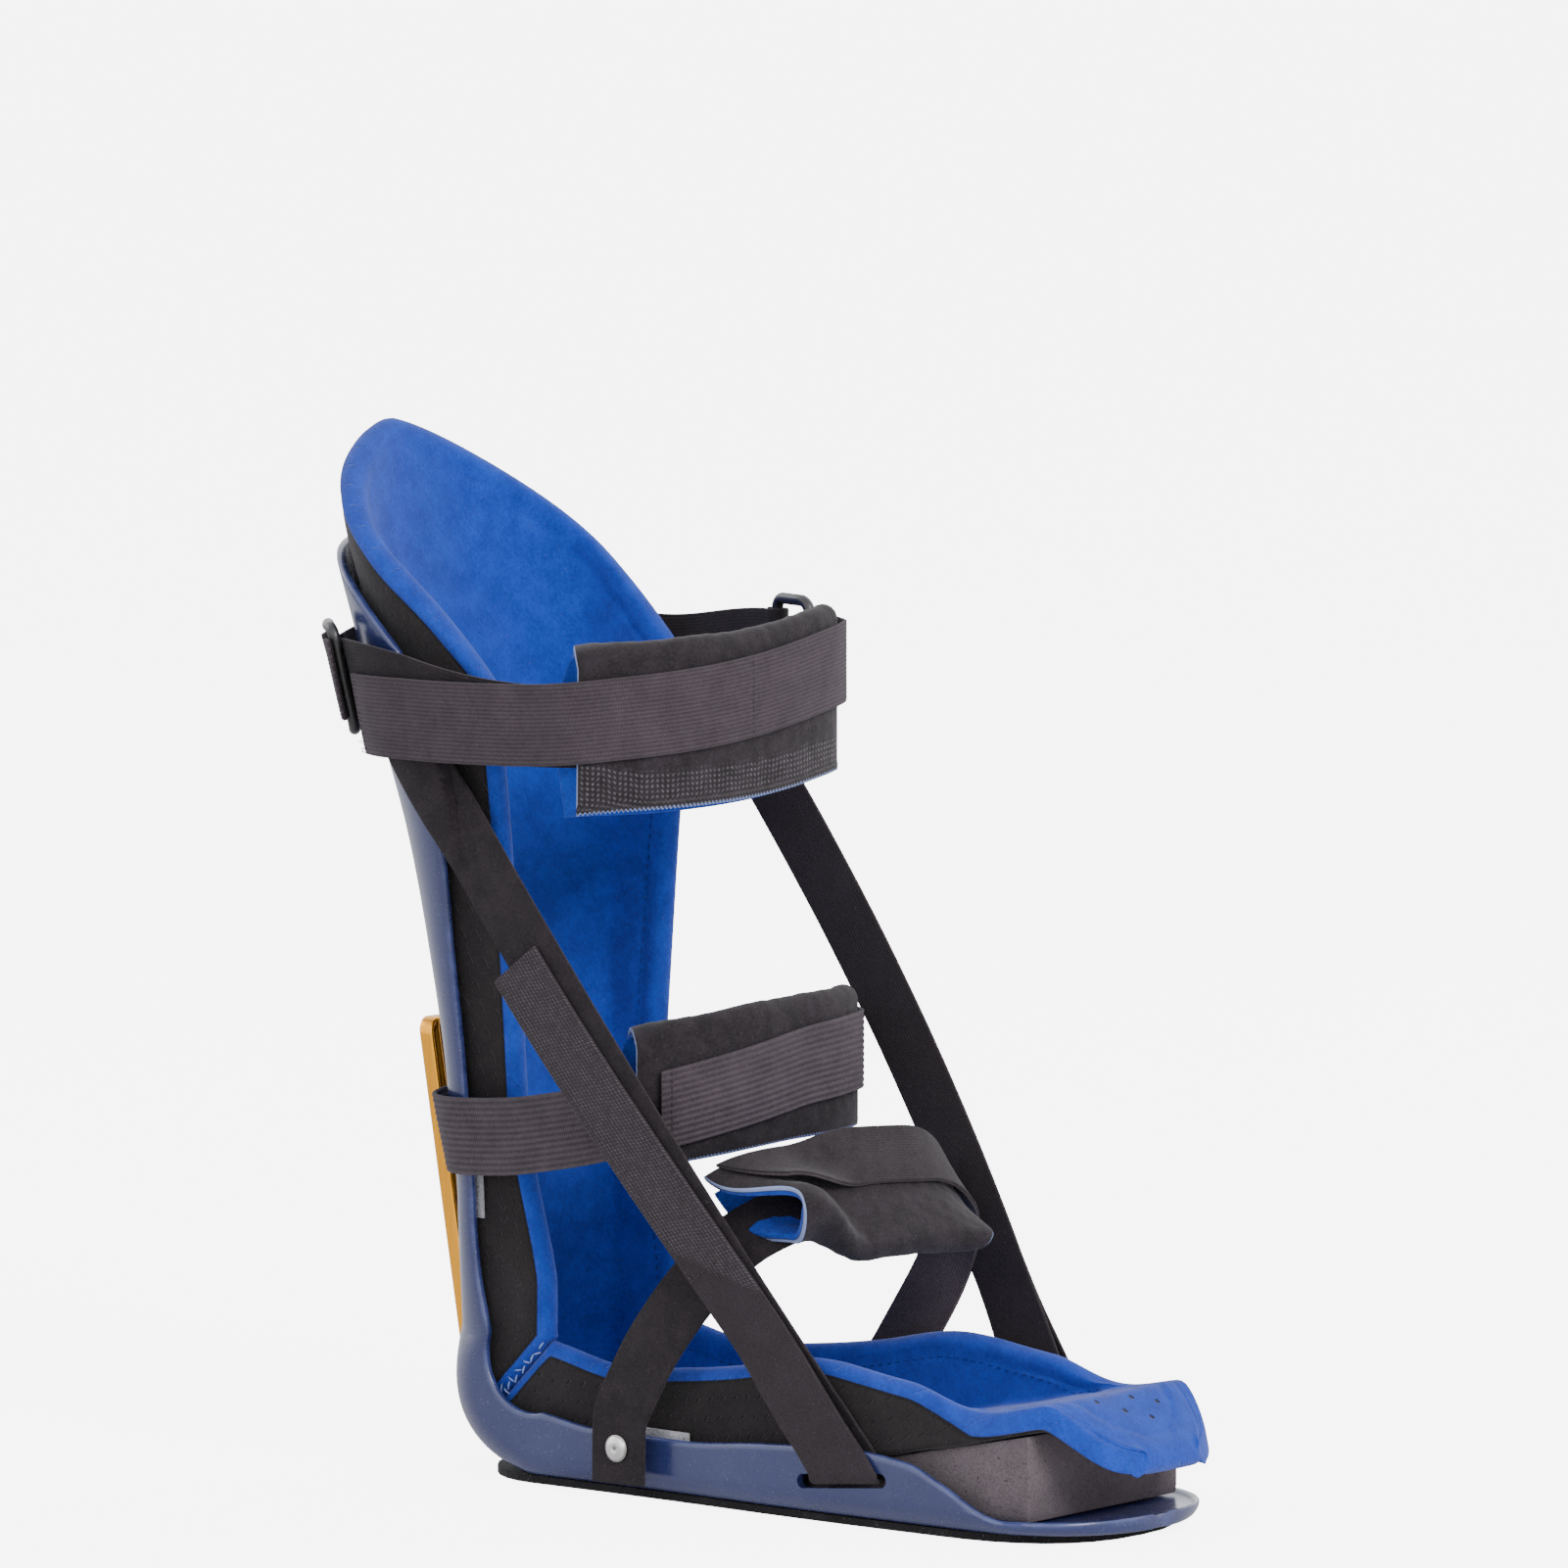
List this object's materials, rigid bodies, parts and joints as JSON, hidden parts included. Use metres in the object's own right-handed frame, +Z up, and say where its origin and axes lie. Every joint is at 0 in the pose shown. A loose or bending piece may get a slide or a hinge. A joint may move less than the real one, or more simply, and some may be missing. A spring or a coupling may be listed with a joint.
{
  "type": "night splint",
  "caption": "Boot-shaped plastic night splint with padded liner, toe wedge, metal back bar and padded calf, ankle, instep and diagonal straps.",
  "frame": {"origin": "on the floor under the middle of the heel, on the sole's underside", "axes": "+X towards the toes, +Z up the leg, -Y to the outer side of the right foot"},
  "size_m": [0.3045, 0.1293, 0.3212],
  "materials": {
    "navy_plastic": "navy polyethylene, satin gloss",
    "black_rubber": "matt black",
    "grey_foam": "fine-celled dark grey foam",
    "liner_fabric": "brushed knit on foam, blue inside and black outside",
    "pad_fabric": "brushed black loop fabric on foam, blue inside",
    "elastic_webbing": "ribbed elastic webbing, dark grey",
    "strap_webbing": "flat woven webbing, near black",
    "ring_plastic": "black moulded plastic",
    "rivet_steel": "nickel plated",
    "gold_aluminium": "gold anodised, ribbed",
    "tab_white": "white hook fabric"
  },
  "bodies": {
    "root": {"shell": "navy_plastic", "sole": "black_rubber", "toe_wedge": "grey_foam", "leg_liner": "liner_fabric", "foot_liner": "liner_fabric", "foot_tab_near": "tab_white", "foot_tab_far": "tab_white", "leg_tab_near": "tab_white", "leg_tab_far": "tab_white", "back_bar": "gold_aluminium", "bar_rivet_1": "rivet_steel", "bar_rivet_2": "rivet_steel", "calf_back_strap": "strap_webbing", "back_strap_rivet": "rivet_steel", "calf_ring_near": "ring_plastic", "calf_ring_far": "ring_plastic", "calf_front_strap": "elastic_webbing", "calf_pad": "pad_fabric", "ankle_strap": "elastic_webbing", "ankle_pad": "pad_fabric", "instep_strap_near": "strap_webbing", "instep_strap_far": "strap_webbing", "instep_pad": "pad_fabric", "instep_rivet_near": "rivet_steel", "instep_rivet_far": "rivet_steel", "diagonal_strap_near": "strap_webbing", "diagonal_strap_far": "strap_webbing"}
  },
  "joints": []
}
